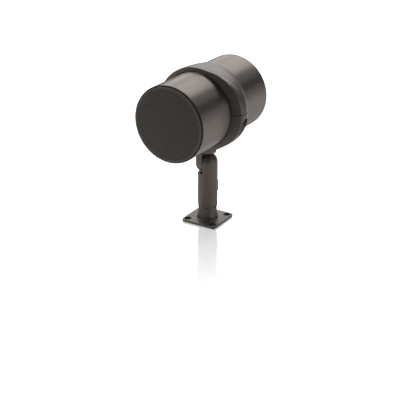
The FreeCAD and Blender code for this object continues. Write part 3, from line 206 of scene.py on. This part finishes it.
FINISHES = {
    POWDER_COAT: ("base_flange", "post", "knuckle_head", "collar"),
    METALLIC_LACQUER: ("barrel",),
    LACQUERED_ABS: ("cable_exit_cover",),
    SHADED_PUNCHED_SHEET: ("grille",),
    ACOUSTIC_CLOTH: ("grille_cloth",),
    RUBBER: ("swivel_washer", "friction_washer", "collar_liner", "cable_grommet", "driver_gasket",
             "surround"),
    BLACK_OXIDE: ("pivot_bolt", "pivot_washer", "clamp_screw", "clamp_washer"),
    ZINC: ("swivel_stem", "baffle_screws", "driver_screws", "board_screws", "top_plate", "pole_yoke"),
    FERRITE: ("ring_magnet",),
    NYLON: ("baffle", "driver_frame", "tweeter_cup"),
    COPPER_WINDING: ("voice_coil", "inductor"),
    BRASS: ("tweeter_post",),
    POLYPROPYLENE: ("cone",),
    COTTON: ("spider",),
    SILK: ("tweeter_dome",),
    BOARD: ("crossover_board",),
    DIPPED_FILM: ("capacitors",),
    TERMINAL_GREEN: ("terminal_block",),
    FIBRE: ("wadding",),
    FOAM: ("grille_foam",),
}
for material, names in FINISHES.items():
    for name in names:
        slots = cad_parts[name].data.materials
        slots.clear()
        slots.append(material)


# Grille, in mm. A profile's pairs are a radius from the barrel's axis and a distance ahead along it.
FIELD_RADIUS = 59.4
FIELD_FRONT = 118.3          # how far ahead the field's edge is
FIELD_DOME = 2.0             # how much further its middle is
SHEET = 0.8
PLAIN_BORDER = 1.7           # cells whose centres are this near the edge have no hole
# Such holes are about 1.5 mm apart, too fine for the render. They are drawn at twice that to show.
PITCH = 3.06
HOLE = 1.04                  # radius
HOLE_SIDES = 12
CELL_SIDES = 6
SAME_CORNER = 5              # decimals to which the corners of two cells agree
TURNED_STEPS = 256
SKIRT = [(59.8, 110.0), (60.8, 110.0), (60.8, 117.4)]
BEAD_CENTRE, BEAD_RADIUS = (60.0, 117.6), 0.8
SKIRT_INSIDE = [(59.2, 117.3), (59.8, 116.4)]
# A black ring fills the gap round the grille's rim; its black is painted shade for that gap
GAP_RING_STEM = [(60.9, 111.5), (61.8, 111.5), (61.8, 115.05), (62.6, 115.05)]
SHOULDER_CENTRE, SHOULDER_RADIUS = (61.5, 115.9), 1.1
GAP_RING_INNER_EDGE = (60.9, 117.0)


def barrel_point(across, ahead, up):
    """The frame's metres from mm across, ahead along the barrel and up from its axis."""
    return np.stack([across * MM, -ahead * MM, AXIS_HEIGHT + up * MM], axis=-1)


def ring(radius, turns):
    """Points round a centre, from turns in degrees: (radius * cos(turn), radius * sin(turn))."""
    turns = np.radians(turns)
    return radius * np.stack([np.cos(turns), np.sin(turns)], axis=-1)


def new_piece(name, points, faces, material, body):
    """A mesh object that rides on a body."""
    mesh = bpy.data.meshes.new(name)
    mesh.from_pydata(points, [], faces)
    mesh.validate()
    mesh.materials.append(material)
    piece = bpy.data.objects.new(name, mesh)
    bpy.context.scene.collection.objects.link(piece)
    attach(piece, body)
    return piece


def perforated_field():
    """A sheet of hexagonal cells at a pitch p, in rows p * sqrt(3) / 2 apart, each a hexagon with a
    round hole. Corners that fewer than three cells share are moved out to the field's radius. The
    height is that of a sphere through the rim: ahead = front + dome - (R - sqrt(R^2 - r^2))."""
    row_gap = PITCH * math.sqrt(3) / 2
    columns, rows = int(FIELD_RADIUS / PITCH) + 2, int(FIELD_RADIUS / row_gap) + 2
    column, row = np.meshgrid(np.arange(-columns, columns + 1), np.arange(-rows, rows + 1))
    centres = np.stack([(column + 0.5 * (row % 2)) * PITCH, row * row_gap], axis=-1).reshape(-1, 2)
    centres = centres[np.hypot(*centres.T) < FIELD_RADIUS - PITCH / 3]
    holed = np.hypot(*centres.T) < FIELD_RADIUS - PLAIN_BORDER

    side = np.arange(CELL_SIDES)
    corners = centres[:, None, :] + ring(PITCH / math.sqrt(3), 30 + 60 * side)
    flat, shared = np.unique(np.round(corners.reshape(-1, 2), SAME_CORNER), axis=0,
                             return_inverse=True)
    shared = shared.reshape(-1, CELL_SIDES)
    loose = np.bincount(shared.ravel(), minlength=len(flat)) < 3
    flat[loose] *= (FIELD_RADIUS / np.hypot(*flat[loose].T))[:, None]

    # A holed cell is six faces, each from one side of the hexagon to two sides of the hole
    rims = centres[holed][:, None, :] + ring(HOLE, 30 * np.arange(HOLE_SIDES))
    rim_index = len(flat) + np.arange(holed.sum() * HOLE_SIDES).reshape(-1, HOLE_SIDES)
    first, second = shared[holed][:, side], shared[holed][:, (side + 1) % CELL_SIDES]
    low, middle, high = (rim_index[:, (2 * side + place) % HOLE_SIDES] for place in (1, 2, 3))
    sectors = np.stack([first, second, high, middle, low], axis=-1).reshape(-1, 5)
    faces = sectors.tolist() + shared[~holed].tolist()

    plane = np.concatenate([flat, rims.reshape(-1, 2)])
    sphere = (FIELD_RADIUS ** 2 + FIELD_DOME ** 2) / (2 * FIELD_DOME)
    fall = sphere - np.sqrt(sphere ** 2 - (plane ** 2).sum(axis=1))
    points = barrel_point(plane[:, 0], FIELD_FRONT + FIELD_DOME - fall, plane[:, 1])
    piece = new_piece("grille_field", points, faces, SHADED_PUNCHED_SHEET, "head")
    wall = piece.modifiers.new("sheet", "SOLIDIFY")
    wall.thickness = SHEET * MM
    wall.offset = -1.0
    return piece


def turned(name, profile, material, body):
    """A closed profile of (radius, ahead) pairs in mm, carried once around the barrel's axis:
    across = radius * cos(turn), up = radius * sin(turn)."""
    radius, ahead = np.array(profile, float).T
    turn = np.linspace(0, 2 * np.pi, TURNED_STEPS, endpoint=False)[:, None]
    points = barrel_point(radius * np.cos(turn), ahead + 0 * turn, radius * np.sin(turn)).reshape(-1, 3)
    number = np.arange(TURNED_STEPS * len(profile)).reshape(TURNED_STEPS, len(profile))
    following = np.roll(number, -1, axis=0)
    faces = np.stack([number, np.roll(number, -1, axis=1), np.roll(following, -1, axis=1), following],
                     axis=-1).reshape(-1, 4)
    piece = new_piece(name, points, faces.tolist(), material, body)
    piece.data.polygons.foreach_set("use_smooth", np.ones(len(faces), bool))
    return piece


def arc(centre, radius, finish, steps):
    """Points of an arc in the (radius, ahead) plane, from straight out to a turn in degrees."""
    turns = np.radians(np.linspace(0, finish, steps))
    return [(centre[0] + radius * math.cos(turn), centre[1] + radius * math.sin(turn)) for turn in turns]


def rolled_rim():
    """The grille's skirt and rolled rim: a narrow half-round bead round the field's edge."""
    profile = SKIRT + arc(BEAD_CENTRE, BEAD_RADIUS, finish=180, steps=13) + SKIRT_INSIDE
    return turned("grille_rim", profile, SHADED_PUNCHED_SHEET, "head")


def shade_gap_ring():
    """A black ring in the gap between the grille's rim and the barrel's lip, whose black is painted
    shade for the dark gap there: a stem between them and a lip that lies over the barrel's edge, with a
    quarter-round outside."""
    profile = GAP_RING_STEM + arc(SHOULDER_CENTRE, SHOULDER_RADIUS, finish=90, steps=7) + [GAP_RING_INNER_EDGE]
    return turned("grille_gap_shade_ring", profile, RUBBER, "head")


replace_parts(perforated_field(), "grille")
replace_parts(rolled_rim(), "grille")
# The black ring, as painted shade in the gap round the grille's rim
shade_gap_ring()


# Stage and light. Lengths are in metres, and a share is of white's strength.
FLOOR_HALF = 6.0
PLATE_HALF = 32.5 * MM       # half the flange's width
GLOW_SHARES = (0.5, 1.0)     # of the open floor near the object and far from it
GLOW_GROWS = (0.4, 1.6)      # the distances from the object between which it grows
FLOOR_IN_GLOSS = 0.3
MIRROR_SHARE = 0.3           # at the flange's edge
MIRROR_FADES = (0.045, 0.265)
WORLD_IN_GLOSS = 0.06
WORLD_ELSEWHERE = 0.02
AIM = Vector((0.0, 0.0, 0.2))
LAMP_DISTANCE = 1.9
# Name, degrees right of straight behind the object, degrees up, width, height, and watts
LAMPS = (
    ("overhead_softbox", 0, 62, 1.5, 0.75, 24),
    ("back_softbox", -23, 22, 1.4, 0.7, 8),
    ("left_back_softbox", -50, 40, 0.7, 0.7, 5.8),
    ("right_back_softbox", 40, 40, 0.7, 0.7, 2.4),
    ("front_left_softbox", -135, 35, 0.7, 0.7, 12.5),
    ("right_softbox", 90, 8, 0.7, 0.7, 3.3),
)


def background_share(tree, gloss_share):
    """1 for camera rays and a smaller share for the rays that gloss and glass send out."""
    path = add(tree, "LightPath")
    through = add(tree, "Math", {"operation": "MAXIMUM"}, i0=path.outputs["Is Glossy Ray"],
                  i1=path.outputs["Is Transmission Ray"])
    dimmed = add(tree, "Math", {"operation": "MULTIPLY"}, i0=through.outputs["Value"], i1=gloss_share)
    share = add(tree, "Math", {"operation": "MAXIMUM"}, i0=path.outputs["Is Camera Ray"],
                i1=dimmed.outputs["Value"])
    return share.outputs["Value"]


def floor_material():
    """White acrylic: pale, with a reflection near the foot of what stands on it. It doesn't glow
    under the flange, so the screw holes look dark."""
    material = bpy.data.materials.new("white_acrylic_floor")
    material.use_nodes = True
    tree = material.node_tree
    tree.nodes.clear()
    place = add(tree, "TexCoord").outputs["Object"]
    distance = add(tree, "VectorMath", {"operation": "LENGTH"}, i0=place).outputs["Value"]
    apart = add(tree, "SeparateXYZ", Vector=place)
    across = add(tree, "Math", {"operation": "ABSOLUTE"}, i0=apart.outputs["X"])
    along = add(tree, "Math", {"operation": "ABSOLUTE"}, i0=apart.outputs["Y"])
    outward = add(tree, "Math", {"operation": "MAXIMUM"}, i0=across.outputs["Value"],
                  i1=along.outputs["Value"])
    beyond_plate = add(tree, "Math", {"operation": "GREATER_THAN"}, i0=outward.outputs["Value"],
                       i1=PLATE_HALF)
    glow_share = add(tree, "MapRange", Value=distance, i1=GLOW_GROWS[0], i2=GLOW_GROWS[1],
                     i3=GLOW_SHARES[0], i4=GLOW_SHARES[1])
    seen = add(tree, "Math", {"operation": "MULTIPLY"}, i0=background_share(tree, FLOOR_IN_GLOSS),
               i1=glow_share.outputs["Result"])
    strength = add(tree, "Math", {"operation": "MULTIPLY"}, i0=seen.outputs["Value"],
                   i1=beyond_plate.outputs["Value"])
    glow = add(tree, "Emission", Color=WHITE, Strength=strength.outputs["Value"])
    pale = add(tree, "BsdfDiffuse", Color=hex_colour("#F2F2F2"))
    body = add(tree, "AddShader", i0=pale.outputs["BSDF"], i1=glow.outputs["Emission"])
    mirror = add(tree, "BsdfAnisotropic", Color=WHITE, Roughness=0.06)
    fading = add(tree, "MapRange", Value=distance, i1=MIRROR_FADES[0], i2=MIRROR_FADES[1],
                 i3=MIRROR_SHARE, i4=0.0)
    mixed = add(tree, "MixShader", i0=fading.outputs["Result"], i1=body.outputs["Shader"],
                i2=mirror.outputs["BSDF"])
    add(tree, "OutputMaterial", Surface=mixed.outputs["Shader"])
    return material


def lay_floor():
    """A flat square sheet under the object, which isn't part of it."""
    low, high = -FLOOR_HALF, FLOOR_HALF
    mesh = bpy.data.meshes.new("floor")
    mesh.from_pydata([(low, low, 0), (high, low, 0), (high, high, 0), (low, high, 0)], [],
                     [(0, 1, 2, 3)])
    mesh.materials.append(floor_material())
    sheet = bpy.data.objects.new("floor", mesh)
    bpy.context.scene.collection.objects.link(sheet)


def light_world():
    """A white background, which lights the object only a little."""
    world = bpy.data.worlds.new("studio")
    bpy.context.scene.world = world
    world.use_nodes = True
    tree = world.node_tree
    tree.nodes.clear()
    strength = add(tree, "Math", {"operation": "MAXIMUM"}, i0=background_share(tree, WORLD_IN_GLOSS),
                   i1=WORLD_ELSEWHERE)
    sky = add(tree, "Background", Color=WHITE, Strength=strength.outputs["Value"])
    add(tree, "OutputWorld", Surface=sky.outputs["Background"])


def softbox(name, turn, rise, width, height, power):
    """A rectangular lamp that faces the object, and that no view shows."""
    turn, rise = math.radians(turn), math.radians(rise)
    outward = Vector((math.sin(turn) * math.cos(rise), math.cos(turn) * math.cos(rise), math.sin(rise)))
    data = bpy.data.lights.new(name, "AREA")
    data.shape = "RECTANGLE"
    data.size, data.size_y, data.energy = width, height, power
    lamp = bpy.data.objects.new(name, data)
    lamp.location = AIM + LAMP_DISTANCE * outward
    lamp.rotation_euler = (-outward).to_track_quat("-Z", "Y").to_euler()
    lamp.visible_camera = False
    bpy.context.scene.collection.objects.link(lamp)


lay_floor()
light_world()
for lamp_row in LAMPS:
    softbox(*lamp_row)


# Camera
PICTURE = 400                # pixels
FOCAL = 1006.04              # pixels
SENSOR = 36.0                # mm
CAMERA_PLACE = (0.8135, -1.3274, 0.7391)
CAMERA_DOWN = 24.352         # degrees below level
CAMERA_TURN = 31.979         # degrees left of straight ahead, which is +Y

camera_data = bpy.data.cameras.new("camera")
camera_data.sensor_width = SENSOR
camera_data.lens = FOCAL * SENSOR / PICTURE
camera_data.clip_end = 50
camera = bpy.data.objects.new("camera", camera_data)
camera.location = CAMERA_PLACE
camera.rotation_euler = (math.radians(90 - CAMERA_DOWN), 0.0, math.radians(CAMERA_TURN))
bpy.context.scene.collection.objects.link(camera)
bpy.context.scene.camera = camera
bpy.context.scene.view_settings.view_transform = "Standard"
